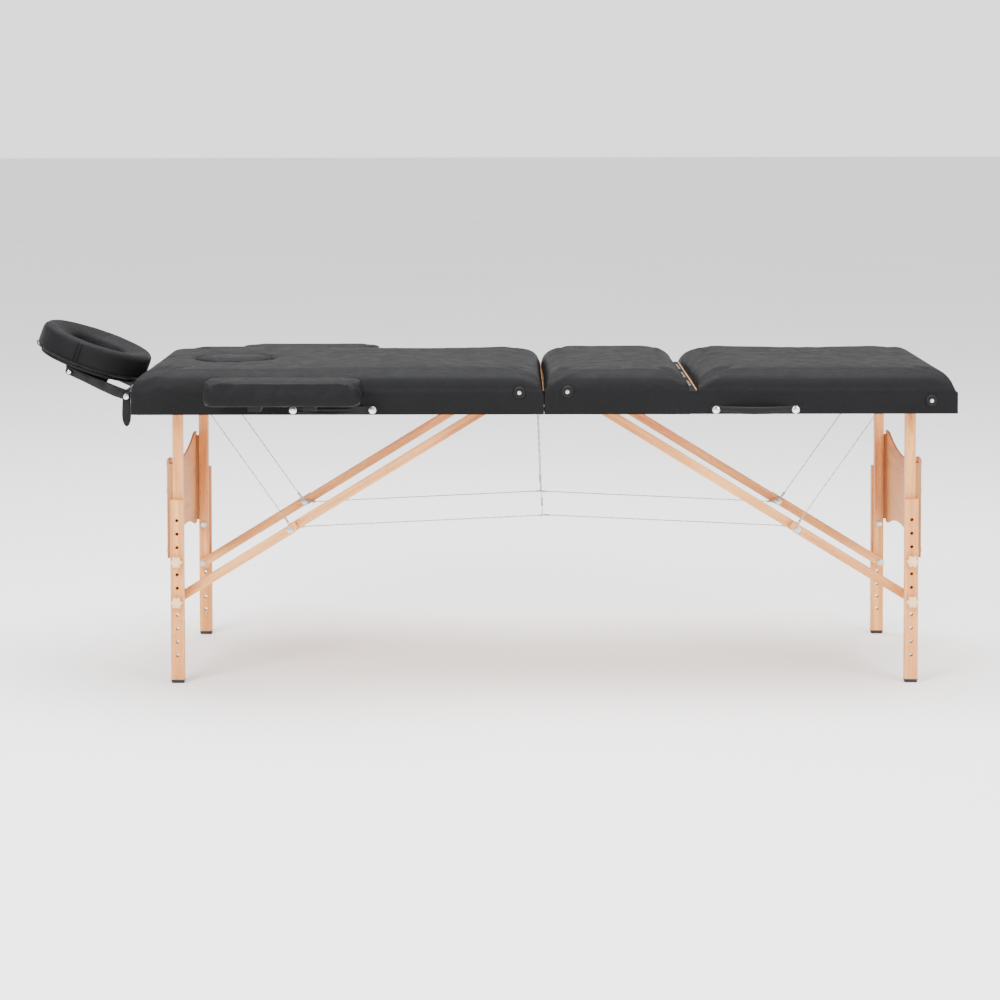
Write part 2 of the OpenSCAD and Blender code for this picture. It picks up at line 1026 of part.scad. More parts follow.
module armrest_rear_base() {
    armrest_base(1);
}

// ---------- what is drawn ----------
head_side_rails();
head_cross_rails();
head_deck();
head_pad();
head_hardware();
head_hinge_leaves();
head_handle();
head_bumper();
head_cables();
hinge_pins();
foot_side_rails();
foot_cross_rails();
foot_deck();
seat_pad();
foot_hardware();
foot_hinge_leaves();
foot_handle();
foot_bumpers();
foot_cables();
backrest_board();
backrest_pad();
backrest_leaf();
backrest_prop();
head_upper_legs();
foot_upper_legs();
head_leg_panel();
foot_leg_panel();
head_leg_bolts();
foot_leg_bolts();
head_leg_boards();
foot_leg_boards();
head_feet();
foot_feet();
knob_head_front_upper();
knob_head_front_lower();
knob_head_rear_upper();
knob_head_rear_lower();
knob_foot_front_upper();
knob_foot_front_lower();
knob_foot_rear_upper();
knob_foot_rear_lower();
head_upper_braces();
foot_upper_braces();
head_lower_braces();
foot_lower_braces();
head_elbow_bolts();
foot_elbow_bolts();
head_elbow_studs();
foot_elbow_studs();
headrest_rods();
headrest_arms();
headrest_platform();
headrest_cushion();
headrest_lever();
armrest_front_pad();
armrest_front_base();
armrest_rear_pad();
armrest_rear_base();
face_plug();
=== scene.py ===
"""Visual model of the portable massage table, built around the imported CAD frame."""
import math

import bmesh
import bpy
from mathutils import Matrix, Vector


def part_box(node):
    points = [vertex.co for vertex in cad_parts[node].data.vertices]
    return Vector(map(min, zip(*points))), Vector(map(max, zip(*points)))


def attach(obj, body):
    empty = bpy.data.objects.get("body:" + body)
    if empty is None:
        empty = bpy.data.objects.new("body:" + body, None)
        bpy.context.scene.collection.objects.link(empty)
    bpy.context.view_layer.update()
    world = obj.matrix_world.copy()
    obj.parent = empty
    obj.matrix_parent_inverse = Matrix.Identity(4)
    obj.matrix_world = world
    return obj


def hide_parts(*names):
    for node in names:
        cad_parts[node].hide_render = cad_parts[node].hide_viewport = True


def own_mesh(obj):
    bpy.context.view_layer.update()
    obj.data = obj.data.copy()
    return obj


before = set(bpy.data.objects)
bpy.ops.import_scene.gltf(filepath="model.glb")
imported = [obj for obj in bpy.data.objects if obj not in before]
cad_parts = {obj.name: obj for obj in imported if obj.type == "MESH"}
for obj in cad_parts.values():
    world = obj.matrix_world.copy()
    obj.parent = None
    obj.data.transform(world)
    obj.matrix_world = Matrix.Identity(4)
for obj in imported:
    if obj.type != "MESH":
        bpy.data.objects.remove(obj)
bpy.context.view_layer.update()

MM = 0.001
SEAM = 0.135
HALF = 0.930
HEAD, FOOT = -1, 1


def at(s, d):
    """X of a point d metres out from the seam on half s."""
    return SEAM + s * d


# ---------------------------------------------------------------- camera
CAM = {"f": 2342.1, "shift_x": 0.0, "shift_y": -0.30, "pitch": 2.295, "roll": 0.108, "yaw": 0.214,
       "at": (0.0563, -5.5500, 1.3142)}


def add_camera():
    data = bpy.data.cameras.new("camera")
    data.sensor_width = 36.0
    data.lens = CAM["f"] / 1000 * 36.0
    data.shift_x = CAM["shift_x"]
    data.shift_y = CAM["shift_y"]
    data.clip_end = 60
    cam = bpy.data.objects.new("camera", data)
    bpy.context.scene.collection.objects.link(cam)
    cam.location = CAM["at"]
    angles = (90 - CAM["pitch"], CAM["roll"], CAM["yaw"])
    cam.rotation_euler = [math.radians(a) for a in angles]
    bpy.context.scene.camera = cam


add_camera()


# ---------------------------------------------------------------- materials
class Graph:
    """Small helper to wire a material's nodes."""

    def __init__(self, name):
        self.mat = bpy.data.materials.new(name)
        self.mat.use_nodes = True
        self.tree = self.mat.node_tree
        self.tree.nodes.clear()
        self.out = self.tree.nodes.new("ShaderNodeOutputMaterial")
        self.bsdf = self.tree.nodes.new("ShaderNodeBsdfPrincipled")
        self.link(self.bsdf, "BSDF", self.out, "Surface")
        self.coord = self.tree.nodes.new("ShaderNodeTexCoord")

    def link(self, a, out, b, inp):
        self.tree.links.new(a.outputs[out], b.inputs[inp])

    def mapping(self, scale=(1, 1, 1), rot=(0, 0, 0), loc=(0, 0, 0)):
        m = self.tree.nodes.new("ShaderNodeMapping")
        m.inputs["Scale"].default_value = scale
        m.inputs["Rotation"].default_value = rot
        m.inputs["Location"].default_value = loc
        self.link(self.coord, "Object", m, "Vector")
        return m

    def noise(self, src, scale, detail=4, rough=0.5, distort=0.0):
        n = self.tree.nodes.new("ShaderNodeTexNoise")
        n.inputs["Scale"].default_value = scale
        n.inputs["Detail"].default_value = detail
        n.inputs["Roughness"].default_value = rough
        n.inputs["Distortion"].default_value = distort
        if src is not None:
            self.link(src, "Vector", n, "Vector")
        return n

    def voronoi(self, src, scale, feature="DISTANCE_TO_EDGE"):
        n = self.tree.nodes.new("ShaderNodeTexVoronoi")
        n.feature = feature
        n.inputs["Scale"].default_value = scale
        self.link(src, "Vector", n, "Vector")
        return n

    def ramp(self, src, out, stops):
        r = self.tree.nodes.new("ShaderNodeValToRGB")
        els = r.color_ramp.elements
        while len(els) < len(stops):
            els.new(0.5)
        for el, (pos, col) in zip(els, stops):
            el.position = pos
            el.color = (*col, 1) if len(col) == 3 else col
        self.link(src, out, r, "Fac")
        return r

    def span(self, src, out, lo, hi, a=0.0, b=1.0):
        """Maps src from a..b to lo..hi."""
        m = self.tree.nodes.new("ShaderNodeMapRange")
        m.inputs["From Min"].default_value = a
        m.inputs["From Max"].default_value = b
        m.inputs["To Min"].default_value = lo
        m.inputs["To Max"].default_value = hi
        self.link(src, out, m, "Value")
        return m

    def math(self, op, a, b):
        m = self.tree.nodes.new("ShaderNodeMath")
        m.operation = op
        for k, v in enumerate((a, b)):
            if isinstance(v, tuple):
                self.link(v[0], v[1], m, k)
            else:
                m.inputs[k].default_value = v
        return m

    def mix(self, fac, a, b, mode="MIX"):
        m = self.tree.nodes.new("ShaderNodeMix")
        m.data_type = "RGBA"
        m.blend_type = mode
        if isinstance(fac, tuple):
            self.tree.links.new(fac[0].outputs[fac[1]], m.inputs[0])
        else:
            m.inputs[0].default_value = fac
        for slot, v in ((6, a), (7, b)):
            if isinstance(v[0], (int, float)):
                m.inputs[slot].default_value = (*v, 1)
            else:
                self.tree.links.new(v[0].outputs[v[1]], m.inputs[slot])
        return m

    def bump(self, height, out, strength, distance, prev=None):
        b = self.tree.nodes.new("ShaderNodeBump")
        b.inputs["Strength"].default_value = strength
        b.inputs["Distance"].default_value = distance
        self.link(height, out, b, "Height")
        if prev is not None:
            self.link(prev, "Normal", b, "Normal")
        return b


def leather(name, base, dull=0.0):
    g = Graph(name)
    m = g.mapping()
    patch = g.noise(m, 9, 3)
    cells = g.voronoi(m, 620)
    fine = g.noise(m, 1500, 3, 0.6)
    dark = tuple(c * 0.70 for c in base)
    light = tuple(c * 1.30 + 0.002 for c in base)
    tone = g.ramp(patch, "Fac", [(0.3, dark), (0.7, base)])
    grain = g.span(cells, "Distance", 0, 1, 0.0, 0.25)
    col = g.mix((grain, "Result"), (tone, "Color"), light)
    g.tree.links.new(col.outputs[2], g.bsdf.inputs["Base Color"])
    scuff = g.noise(m, 34, 5, 0.65)
    rough = g.span(scuff, "Fac", 0.40 + dull, 0.54 + dull, 0.3, 0.7)
    g.link(rough, "Result", g.bsdf, "Roughness")
    g.bsdf.inputs["Specular IOR Level"].default_value = 0.06
    b1 = g.bump(grain, "Result", 0.35, 0.0005)
    b2 = g.bump(fine, "Fac", 0.18, 0.0003, b1)
    b3 = g.bump(g.noise(m, 60, 3), "Fac", 0.05, 0.0010, b2)
    g.link(b3, "Normal", g.bsdf, "Normal")
    return g.mat


def wood(name, rot=(0, 0, 0), light=(0.84, 0.38, 0.11), dark=(0.56, 0.20, 0.045), gloss=0.42):
    """Lacquered beech with the grain along the local X of rot."""
    g = Graph(name)
    m = g.mapping((1.0, 1.0, 1.0), rot)
    stretch = g.tree.nodes.new("ShaderNodeMapping")
    stretch.inputs["Scale"].default_value = (0.9, 14, 14)
    g.link(m, "Vector", stretch, "Vector")
    rings = g.noise(stretch, 3.2, 6, 0.55, 0.9)
    figure = g.ramp(rings, "Fac", [(0.30, dark), (0.47, tuple((a + b) / 2 for a, b in zip(light, dark))),
                                   (0.60, light), (0.78, tuple(min(1, c * 1.08) for c in light))])
    fleck_map = g.tree.nodes.new("ShaderNodeMapping")
    fleck_map.inputs["Scale"].default_value = (60, 900, 900)
    g.link(m, "Vector", fleck_map, "Vector")
    fleck = g.noise(fleck_map, 1.0, 2, 0.5)
    mask = g.span(fleck, "Fac", 0.0, 0.55, 0.56, 0.70)
    col = g.mix((mask, "Result"), (figure, "Color"), tuple(c * 0.55 for c in dark))
    broad = g.noise(m, 2.4, 2)
    shade = g.ramp(broad, "Fac", [(0.3, (0.90, 0.88, 0.86)), (0.7, (1, 1, 1))])
    fin = g.mix(1.0, (col, 2), (shade, "Color"), "MULTIPLY")
    g.tree.links.new(fin.outputs[2], g.bsdf.inputs["Base Color"])
    rough = g.span(rings, "Fac", gloss, gloss + 0.16, 0.3, 0.7)
    g.link(rough, "Result", g.bsdf, "Roughness")
    g.bsdf.inputs["Coat Weight"].default_value = 0.12
    g.bsdf.inputs["Coat Roughness"].default_value = 0.3
    b1 = g.bump(fleck, "Fac", 0.12, 0.0003)
    b2 = g.bump(rings, "Fac", 0.10, 0.0006, b1)
    g.link(b2, "Normal", g.bsdf, "Normal")
    return g.mat


def plywood(name, rot, layer_axis, layer_pitch, light=(0.60, 0.27, 0.085), dark=(0.40, 0.15, 0.04)):
    """Plywood sheet: face veneer on the flats, plies as bands on the cut edges."""
    g = Graph(name)
    m = g.mapping((1, 1, 1), rot)
    stretch = g.tree.nodes.new("ShaderNodeMapping")
    stretch.inputs["Scale"].default_value = (1.2, 9, 9)
    g.link(m, "Vector", stretch, "Vector")
    rings = g.noise(stretch, 2.6, 6, 0.6, 1.6)
    face = g.ramp(rings, "Fac", [(0.3, dark), (0.5, light), (0.75, tuple(min(1, c * 1.12) for c in light))])
    split = g.tree.nodes.new("ShaderNodeSeparateXYZ")
    g.link(g.coord, "Object", split, "Vector")
    wave = g.math("SINE", (g.math("MULTIPLY", (split, layer_axis), math.tau / layer_pitch), "Value"), 0)
    plies = g.ramp(wave, "Value", [(0.35, tuple(c * 0.5 for c in dark)), (0.6, light)])
    geo = g.tree.nodes.new("ShaderNodeNewGeometry")
    nsplit = g.tree.nodes.new("ShaderNodeSeparateXYZ")
    g.link(geo, "True Normal", nsplit, "Vector")
    flat = g.math("ABSOLUTE", (nsplit, layer_axis), 0)
    is_flat = g.span(flat, "Value", 0, 1, 0.45, 0.6)
    col = g.mix((is_flat, "Result"), (plies, "Color"), (face, "Color"))
    g.tree.links.new(col.outputs[2], g.bsdf.inputs["Base Color"])
    rough = g.span(rings, "Fac", 0.5, 0.7, 0.3, 0.7)
    g.link(rough, "Result", g.bsdf, "Roughness")
    b1 = g.bump(rings, "Fac", 0.14, 0.0006)
    g.link(b1, "Normal", g.bsdf, "Normal")
    return g.mat


def metal(name, col, rough, brush=(1, 1, 1), spread=0.12, depth=0.06):
    g = Graph(name)
    m = g.mapping(brush)
    lines = g.noise(m, 700, 3, 0.6)
    patch = g.noise(g.mapping(), 40, 4, 0.6)
    tone = g.ramp(patch, "Fac", [(0.3, tuple(c * 0.72 for c in col)), (0.65, col)])
    g.link(tone, "Color", g.bsdf, "Base Color")
    g.bsdf.inputs["Metallic"].default_value = 1.0
    r = g.span(patch, "Fac", rough, rough + spread, 0.3, 0.7)
    g.link(r, "Result", g.bsdf, "Roughness")
    b = g.bump(lines, "Fac", depth, 0.0002)
    g.link(b, "Normal", g.bsdf, "Normal")
    return g.mat


def plastic(name, col, rough, grain=900, depth=0.12, spread=0.14, vary=0.7, gloss=0.5):
    g = Graph(name)
    g.bsdf.inputs["Specular IOR Level"].default_value = gloss
    m = g.mapping()
    n = g.noise(m, grain, 3, 0.6)
    patch = g.noise(m, 26, 4, 0.6)
    tone = g.ramp(patch, "Fac", [(0.3, tuple(c * vary for c in col)), (0.7, col)])
    g.link(tone, "Color", g.bsdf, "Base Color")
    r = g.span(patch, "Fac", rough, rough + spread, 0.3, 0.7)
    g.link(r, "Result", g.bsdf, "Roughness")
    b = g.bump(n, "Fac", depth, 0.0003)
    g.link(b, "Normal", g.bsdf, "Normal")
    return g.mat


def rope_steel(name):
    g = Graph(name)
    m = g.mapping()
    patch = g.noise(m, 300, 3, 0.6)
    tone = g.ramp(patch, "Fac", [(0.3, (0.22, 0.225, 0.23)), (0.7, (0.5, 0.51, 0.52))])
    g.link(tone, "Color", g.bsdf, "Base Color")
    g.bsdf.inputs["Metallic"].default_value = 0.9
    r = g.span(patch, "Fac", 0.35, 0.55, 0.3, 0.7)
    g.link(r, "Result", g.bsdf, "Roughness")
    return g.mat


RIGHT = math.pi / 2
BRACE = math.radians(31.5)
LEATHER = leather("black_leather_top", (0.0062, 0.0062, 0.0068))
LEATHER_SIDE = leather("black_leather_piping", (0.005, 0.005, 0.0056), 0.04)
WOOD_X = wood("beech_along_x")
WOOD_Y = wood("beech_along_y", (0, 0, RIGHT))
WOOD_Z = wood("beech_along_z", (0, RIGHT, 0))
WOOD_BRACE_HEAD = wood("beech_head_brace", (0, BRACE, 0))
WOOD_BRACE_FOOT = wood("beech_foot_brace", (0, -BRACE, 0))
PLY_DECK = plywood("plywood_deck", (0, 0, 0), "Z", 0.0026)
PLY_PANEL = plywood("plywood_panel", (0, 0, RIGHT), "X", 0.0024, (0.60, 0.26, 0.08), (0.40, 0.15, 0.04))
ZINC = metal("zinc_plated_steel", (0.62, 0.61, 0.58), 0.28)
CHROME = metal("polished_chrome", (0.80, 0.80, 0.82), 0.10, spread=0.08, depth=0.02)
DARK = plastic("black_coated_metal", (0.008, 0.008, 0.009), 0.40, 500, 0.06, gloss=0.2)
# black nylon parts; on the armrest bases this same black is painted shade
BLACK = plastic("black_nylon_and_painted_shade", (0.006, 0.006, 0.0065), 0.46, gloss=0.16)
RUBBER = plastic("black_rubber", (0.020, 0.019, 0.019), 0.62, 600, 0.2)
KNOB = plastic("beige_resin", (0.80, 0.56, 0.27), 0.34, 700, 0.05, 0.1, 0.88)
ROPE = rope_steel("steel_rope")


# ---------------------------------------------------------------- mesh helpers
def from_mesh(name, mesh, mat, smooth=True, sharp=35):
    obj = bpy.data.objects.new(name, mesh)
    bpy.context.scene.collection.objects.link(obj)
    mesh.materials.clear()
    mesh.materials.append(mat)
    if smooth:
        mesh.polygons.foreach_set("use_smooth", [True] * len(mesh.polygons))
        mesh.set_sharp_from_angle(angle=math.radians(sharp))
    return obj


def from_bm(name, bm, mat, sharp=35):
    bmesh.ops.recalc_face_normals(bm, faces=bm.faces)
    mesh = bpy.data.meshes.new(name)
    bm.to_mesh(mesh)
    bm.free()
    return from_mesh(name, mesh, mat, True, sharp)


def bake(obj, sharp=None):
    """Applies the object's modifiers."""
    dg = bpy.context.evaluated_depsgraph_get()
    mesh = bpy.data.meshes.new_from_object(obj.evaluated_get(dg))
    old = obj.data
    obj.modifiers.clear()
    obj.data = mesh
    bpy.data.meshes.remove(old)
    mesh.polygons.foreach_set("use_smooth", [True] * len(mesh.polygons))
    if sharp:
        mesh.set_sharp_from_angle(angle=math.radians(sharp))
    return obj


def modify(obj, kind, **values):
    mod = obj.modifiers.new(kind.lower(), kind)
    for k, v in values.items():
        setattr(mod, k, v)
    return mod


CORNER_Y = 0.2975
CORNER_CUT = 0.009
SEAM_ZONE = 0.012


def refine(node, body, mat, width=0.0012, segments=2, corner=0.0, wrapped=False):
    """A copy of a CAD node with eased edges, standing for it.

    corner takes that much off its outer upright edges; wrapped puts vinyl on its outer and seam faces.
    """
    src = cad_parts[node]
    bm = bmesh.new()
    bm.from_mesh(src.data)
    bmesh.ops.remove_doubles(bm, verts=bm.verts, dist=2e-6)
    bmesh.ops.dissolve_limit(bm, angle_limit=math.radians(0.6), verts=bm.verts, edges=bm.edges)
    if corner:
        upright = []
        for e in bm.edges:
            a, b = (v.co for v in e.verts)
            outer = abs(a.y) > CORNER_Y and abs(b.y) > CORNER_Y
            plumb = abs(a.x - b.x) < 1e-5 and abs(a.y - b.y) < 1e-5
            if outer and plumb and e.calc_face_angle(0) > 1.0:
                upright.append(e)
        bmesh.ops.bevel(bm, geom=upright, offset=corner, segments=1, affect="EDGES", clamp_overlap=True)
    obj = from_bm(node + "_eased", bm, mat)
    modify(obj, "BEVEL", width=width, segments=segments, limit_method="ANGLE",
           angle_limit=math.radians(38), use_clamp_overlap=True)
    bake(obj, 32)
    if wrapped:
        obj.data.materials.append(LEATHER_SIDE)
        for face in obj.data.polygons:
            c = face.center
            if abs(c.x - SEAM) < SEAM_ZONE or abs(c.y) > CORNER_Y:
                face.material_index = 1
    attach(obj, body)
    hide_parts(node)
    return obj


def tube(bm, path, radius, sides=10, closed=False, flat=1.0):
    """Adds a tube along path to bm; radius may be a function of the share of the way."""
    rings = []
    n = len(path)
    last = None
    for i, p in enumerate(path):
        a = path[(i - 1) % n] if closed or i else path[0]
        b = path[(i + 1) % n] if closed or i < n - 1 else path[-1]
        t = (Vector(b) - Vector(a)).normalized()
        side = t.cross(Vector((0, 1, 0)) if last is None else last.cross(t))
        if last is not None:
            side = last - t * last.dot(t)
        if side.length < 1e-6:
            side = t.orthogonal()
        side.normalize()
        last = side
        up = t.cross(side)
        r = radius(i / max(1, n - 1)) if callable(radius) else radius
        ring = []
        for k in range(sides):
            w = math.tau * k / sides
            ring.append(bm.verts.new(Vector(p) + side * (r * math.cos(w)) + up * (r * flat * math.sin(w))))
        rings.append(ring)
    pairs = list(zip(rings, rings[1:]))
    if closed:
        pairs.append((rings[-1], rings[0]))
    for r0, r1 in pairs:
        for k in range(sides):
            bm.faces.new((r0[k], r0[(k + 1) % sides], r1[(k + 1) % sides], r1[k]))
    if not closed:
        bm.faces.new(rings[0][::-1])
        bm.faces.new(rings[-1])
    return rings


def turned(bm, centre, axis, profile, sides=32):
    """Adds a turned solid: profile is (radius, height) from bottom to top along axis."""
    axis = Vector(axis).normalized()
    side = axis.orthogonal().normalized()
    up = axis.cross(side)
    rings = []
    for r, h in profile:
        ring = []
        for k in range(sides):
            w = math.tau * k / sides
            spoke = side * math.cos(w) + up * math.sin(w)
            ring.append(bm.verts.new(Vector(centre) + axis * h + spoke * max(r, 1e-5)))
        rings.append(ring)
    for r0, r1 in zip(rings, rings[1:]):
        for k in range(sides):
            bm.faces.new((r0[k], r0[(k + 1) % sides], r1[(k + 1) % sides], r1[k]))
    bm.faces.new(rings[0][::-1])
    bm.faces.new(rings[-1])


# ---------------------------------------------------------------- padded pieces
def outline_box(x0, x1, y0, y1, r):
    """Rounded rectangle outline, counter-clockwise."""
    pts = []
    corners = ((x1 - r, y1 - r, 0), (x0 + r, y1 - r, 90), (x0 + r, y0 + r, 180), (x1 - r, y0 + r, 270))
    for cx, cy, a0 in corners:
        for k in range(9):
            a = math.radians(a0 + 90 * k / 8)
            pts.append((cx + r * math.cos(a), cy + r * math.sin(a)))
    return pts


def oval_outline(l, w, cx=0.0, cy=0.0, count=24):
    """Straight-sided oval, long along X when l > w."""
    pts = []
    half = (l - w) / 2
    for side in (1, -1):
        for k in range(count + 1):
            a = math.radians(-90 + 180 * k / count) if side > 0 else math.radians(90 + 180 * k / count)
            pts.append((cx + side * half + w / 2 * math.cos(a), cy + w / 2 * math.sin(a)))
    return pts


def prism(outline, z0, z1):
    bm = bmesh.new()
    low = [bm.verts.new((x, y, z0)) for x, y in outline]
    high = [bm.verts.new((x, y, z1)) for x, y in outline]
    n = len(outline)
    bm.faces.new(low[::-1])
    bm.faces.new(high)
    for k in range(n):
        bm.faces.new((low[k], low[(k + 1) % n], high[(k + 1) % n], high[k]))
    return bm


def loaf(x0, x1, z0, z1, half_w, r0, r1, ry, drop=0.038, corner=(0.006, 0.048)):
    """Pad block of stacked outlines: rims rounded by r0 and r1 at the ends, ry along the sides."""
    levels = [(z0, 0.0), (RAIL_TOP, 0.0), ((RAIL_TOP + z1 - drop) / 2, 0.0)]
    levels += [(z1 - drop + drop * math.sin(a), 1 - math.cos(a))
               for a in [math.radians(90 * k / 10) for k in range(11)]]
    bm = bmesh.new()
    rings = []
    for z, inset in levels:
        u = max(0.0, min(1.0, (z - RAIL_TOP) / (z1 - RAIL_TOP)))
        r = corner[0] + (corner[1] - corner[0]) * u * u * (3 - 2 * u)
        outline = outline_box(x0 + r0 * inset, x1 - r1 * inset, -half_w + ry * inset, half_w - ry * inset, r)
        rings.append([bm.verts.new((x, y, z)) for x, y in outline])
    for a, b in zip(rings, rings[1:]):
        for k in range(len(a)):
            m = (k + 1) % len(a)
            bm.faces.new((a[k], a[m], b[m], b[k]))
    bm.faces.new(rings[0][::-1])
    bm.faces.new(rings[-1])
    return bm


def subtract(obj, outline, z0, z1):
    bm = prism(outline, z0, z1)
    cutter = from_bm("cutter", bm, LEATHER)
    modify(obj, "BOOLEAN", object=cutter, operation="DIFFERENCE", solver="EXACT")
    bake(obj)
    bpy.data.objects.remove(cutter)


def swell(obj, voxel, pin, cap, pressure=4.0, slack=0.0, cut=None, shape=None):
    """Remeshes obj, drops the faces cut() picks, and inflates the cloth; pin(co) is its hold, 0 to 1."""
    modify(obj, "REMESH", mode="VOXEL", voxel_size=voxel, adaptivity=0.0)
    bake(obj)
    if shape:
        for v in obj.data.vertices:
            v.co = shape(v.co)
    if cut:
        bm = bmesh.new()
        bm.from_mesh(obj.data)
        bmesh.ops.delete(bm, geom=[f for f in bm.faces if cut(f.calc_center_median())],
                         context="FACES")
        loose = [v for v in bm.verts if not v.link_faces]
        bmesh.ops.delete(bm, geom=loose, context="VERTS")
        bm.to_mesh(obj.data)
        bm.free()
    mesh = obj.data
    rest = [v.co.copy() for v in mesh.vertices]
    group = obj.vertex_groups.new(name="pin")
    for i, co in enumerate(rest):
        w = pin(co)
        if w > 0:
            group.add([i], w, "REPLACE")
    cloth = obj.modifiers.new("cloth", "CLOTH")
    st = cloth.settings
    st.quality = 4
    st.mass = 0.3
    st.tension_stiffness = 12
    st.compression_stiffness = 12
    st.shear_stiffness = 6
    st.bending_stiffness = 1.2
    st.use_pressure = True
    st.uniform_pressure_force = pressure
    st.vertex_group_mass = "pin"
    st.shrink_min = -slack
    st.effector_weights.gravity = 0
    cloth.collision_settings.use_collision = False
    scene = bpy.context.scene
    for f in range(1, 21):
        scene.frame_set(f)
    dg = bpy.context.evaluated_depsgraph_get()
    posed = obj.evaluated_get(dg)
    moved = [v.co.copy() for v in posed.data.vertices]
    obj.modifiers.clear()
    obj.vertex_groups.clear()
    scene.frame_set(1)
    for v, a, b in zip(mesh.vertices, rest, moved):
        d = b - a
        size = d.length
        if size > 1e-9:
            v.co = a + d * (cap * math.tanh(size / cap) / size)
    mesh.update()
    return obj


def finish_pad(obj, body, nodes, shell=None):
    if shell:
        modify(obj, "SOLIDIFY", thickness=shell, offset=-1.0, use_rim=True)
    modify(obj, "SUBSURF", levels=1, render_levels=1)
    bake(obj, 60)
    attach(obj, body)
    if nodes:
        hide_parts(*nodes)
    return obj


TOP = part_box("head_pad")[1].z
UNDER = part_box("head_side_rails")[0].z
RAIL_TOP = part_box("head_side_rails")[1].z
COVER_Y = 0.3015
ROUND_SIDE = 0.036
SEAM_GAP = 0.0006
END_D = 0.9316
SEAT_END_D = 0.3276
BACK_START_D = 0.3424
LINING_D = (0.3240, 0.3460)
SKIN = 0.0007


def hold_low(z_hold, z_free):
    return lambda co: max(0.0, min(1.0, (z_free - co.z) / (z_free - z_hold)))


def press(obj, x0, x1, z_hem, z_flat):
    """Lays the cover's low part flat on the frame's walls, with its hem at z_hem."""
    reach = 0.0058
    for v in obj.data.vertices:
        co = v.co
        if co.z < z_flat:
            if COVER_Y - abs(co.y) < reach:
                co.y = math.copysign(COVER_Y, co.y)
            if co.x - x0 < reach:
                co.x = x0
            if x1 - co.x < reach:
                co.x = x1
        if co.z < z_hem + 0.0085:
            co.z = z_hem


def make_head_cover():
    xs, xe = at(HEAD, SEAM_GAP), at(HEAD, END_D)
    hx = at(HEAD, HALF - 0.198)
    bm = loaf(xe, xs, UNDER - 0.004, TOP - 0.003, COVER_Y, 0.040, 0.036, ROUND_SIDE)
    obj = from_bm("head_cover", bm, LEATHER)
    subtract(obj, oval_outline(0.180, 0.135, hx, 0), 0.5, 0.8)

    def cut(c):
        if c.z < UNDER + 0.001:
            return True
        if c.x > xs - 0.008 and c.z < UNDER + 0.010 and abs(c.y) < 0.288:
            return True
        near_hole = abs(c.x - hx) < 0.105 and abs(c.y) < 0.08
        return near_hole and c.z < RAIL_TOP + 0.001

    swell(obj, 0.0075, hold_low(RAIL_TOP - 0.002, RAIL_TOP + 0.012), 0.0042, 5.0, 0.006, cut)
    press(obj, xe, xs, UNDER, RAIL_TOP + 0.006)
    return finish_pad(obj, "head_frame", ["head_pad"], SKIN)


def make_seat_cover():
    xs, xe = at(FOOT, SEAM_GAP), at(FOOT, SEAT_END_D)
    bm = loaf(xs, xe, UNDER - 0.004, TOP - 0.003, COVER_Y, 0.036, 0.044, ROUND_SIDE)
    obj = from_bm("seat_cover", bm, LEATHER)

    def cut(c):
        if c.z < UNDER + 0.001:
            return True
        if c.x < xs + 0.008 and c.z < UNDER + 0.010 and abs(c.y) < 0.288:
            return True
        return c.x > xe - 0.004 and c.z < RAIL_TOP + 0.001 and abs(c.y) < 0.296

    swell(obj, 0.0065, hold_low(RAIL_TOP - 0.002, RAIL_TOP + 0.012), 0.0038, 5.0, 0.008, cut)
    press(obj, xs, xe, UNDER, RAIL_TOP + 0.006)
    return finish_pad(obj, "foot_frame", ["seat_pad"], SKIN)


def make_backrest_cover():
    xs, xe = at(FOOT, BACK_START_D), at(FOOT, 0.9280)
    z0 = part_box("backrest_board")[0].z + 0.0008
    bm = loaf(xs, xe, z0 - 0.004, TOP - 0.003, COVER_Y, 0.042, 0.032, ROUND_SIDE)
    obj = from_bm("backrest_cover", bm, LEATHER)
    swell(obj, 0.0065, hold_low(z0 + 0.006, z0 + 0.018), 0.0045, 5.0, 0.010, lambda c: c.z < z0 + 0.001)
    press(obj, xs, xe, z0, z0 + 0.008)
    return finish_pad(obj, "backrest", ["backrest_pad"], SKIN)


make_head_cover()
make_seat_cover()
make_backrest_cover()


def make_rail_skins():
    """Vinyl pulled over the side rails and the end rail under the backrest."""
    bm = bmesh.new()
    x0, x1 = at(FOOT, LINING_D[0]), at(FOOT, END_D)
    r = 0.006
    path = [(x0, -COVER_Y), (at(FOOT, 0.5), -COVER_Y), (at(FOOT, 0.7), -COVER_Y)]
    turn = [math.radians(15 * k) for k in range(7)]
    path += [(x1 - r + r * math.sin(a), -COVER_Y + r - r * math.cos(a)) for a in turn]
    path += [(x, -y) for x, y in reversed(path)]
    rows = []
    for x, y in path:
        inward = Vector((0 if x < x1 - r else -1, -1 if y > 0 else 1, 0))
        low, rise = UNDER + 0.0001, RAIL_TOP - UNDER - 0.0003
        wall = [Vector((x, y, low + rise * k / 4)) for k in range(5)]
        rows.append(wall + [Vector((x, y, RAIL_TOP)) + inward * 0.004])
    grid = [[bm.verts.new(p) for p in row] for row in rows]
    for a, b in zip(grid, grid[1:]):
        for k in range(len(a) - 1):
            bm.faces.new((a[k], b[k], b[k + 1], a[k + 1]))
    obj = from_bm("rail_skin", bm, LEATHER, 50)
    modify(obj, "SOLIDIFY", thickness=SKIN * 0.5, offset=0.0)
    bake(obj, 50)
    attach(obj, "foot_frame")


make_rail_skins()


